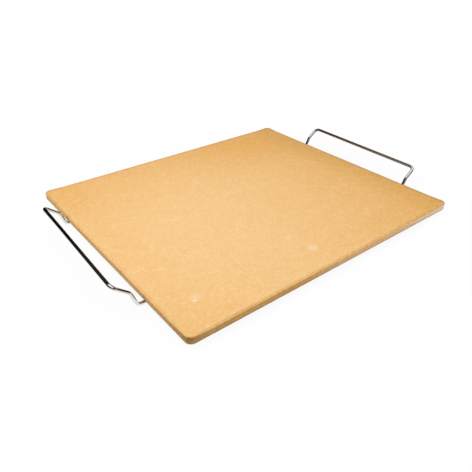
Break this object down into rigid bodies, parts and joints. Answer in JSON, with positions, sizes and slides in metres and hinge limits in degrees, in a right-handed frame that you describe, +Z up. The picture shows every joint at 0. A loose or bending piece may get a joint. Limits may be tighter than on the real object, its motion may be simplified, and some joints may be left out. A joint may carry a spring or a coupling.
{
  "type": "rectangular pizza stone on a wire carrier",
  "caption": "Rectangular ceramic baking stone with rounded corners, lying loose on a low chromed wire carrier with an upturned grip past each short side.",
  "frame": {"origin": "on the table, under the middle of the stone", "axes": "+X along the stone's long side, from one grip to the other; +Y along the short side; +Z up out of the baking face"},
  "size_m": [0.4704, 0.356, 0.0363],
  "materials": {
    "unglazed_ceramic": "matte",
    "chromed_wire": "polished"
  },
  "bodies": {
    "carrier": {"handle_wire_right": "chromed_wire", "handle_wire_left": "chromed_wire", "cross_wire_right": "chromed_wire", "cross_wire_left": "chromed_wire"},
    "stone": {"baking_stone": "unglazed_ceramic"}
  },
  "joints": [
    {"name": "stone_lift", "type": "slide", "parent": "carrier", "child": "stone", "axis": [0, 0, 1], "range_m": [0, 0.1]}
  ]
}
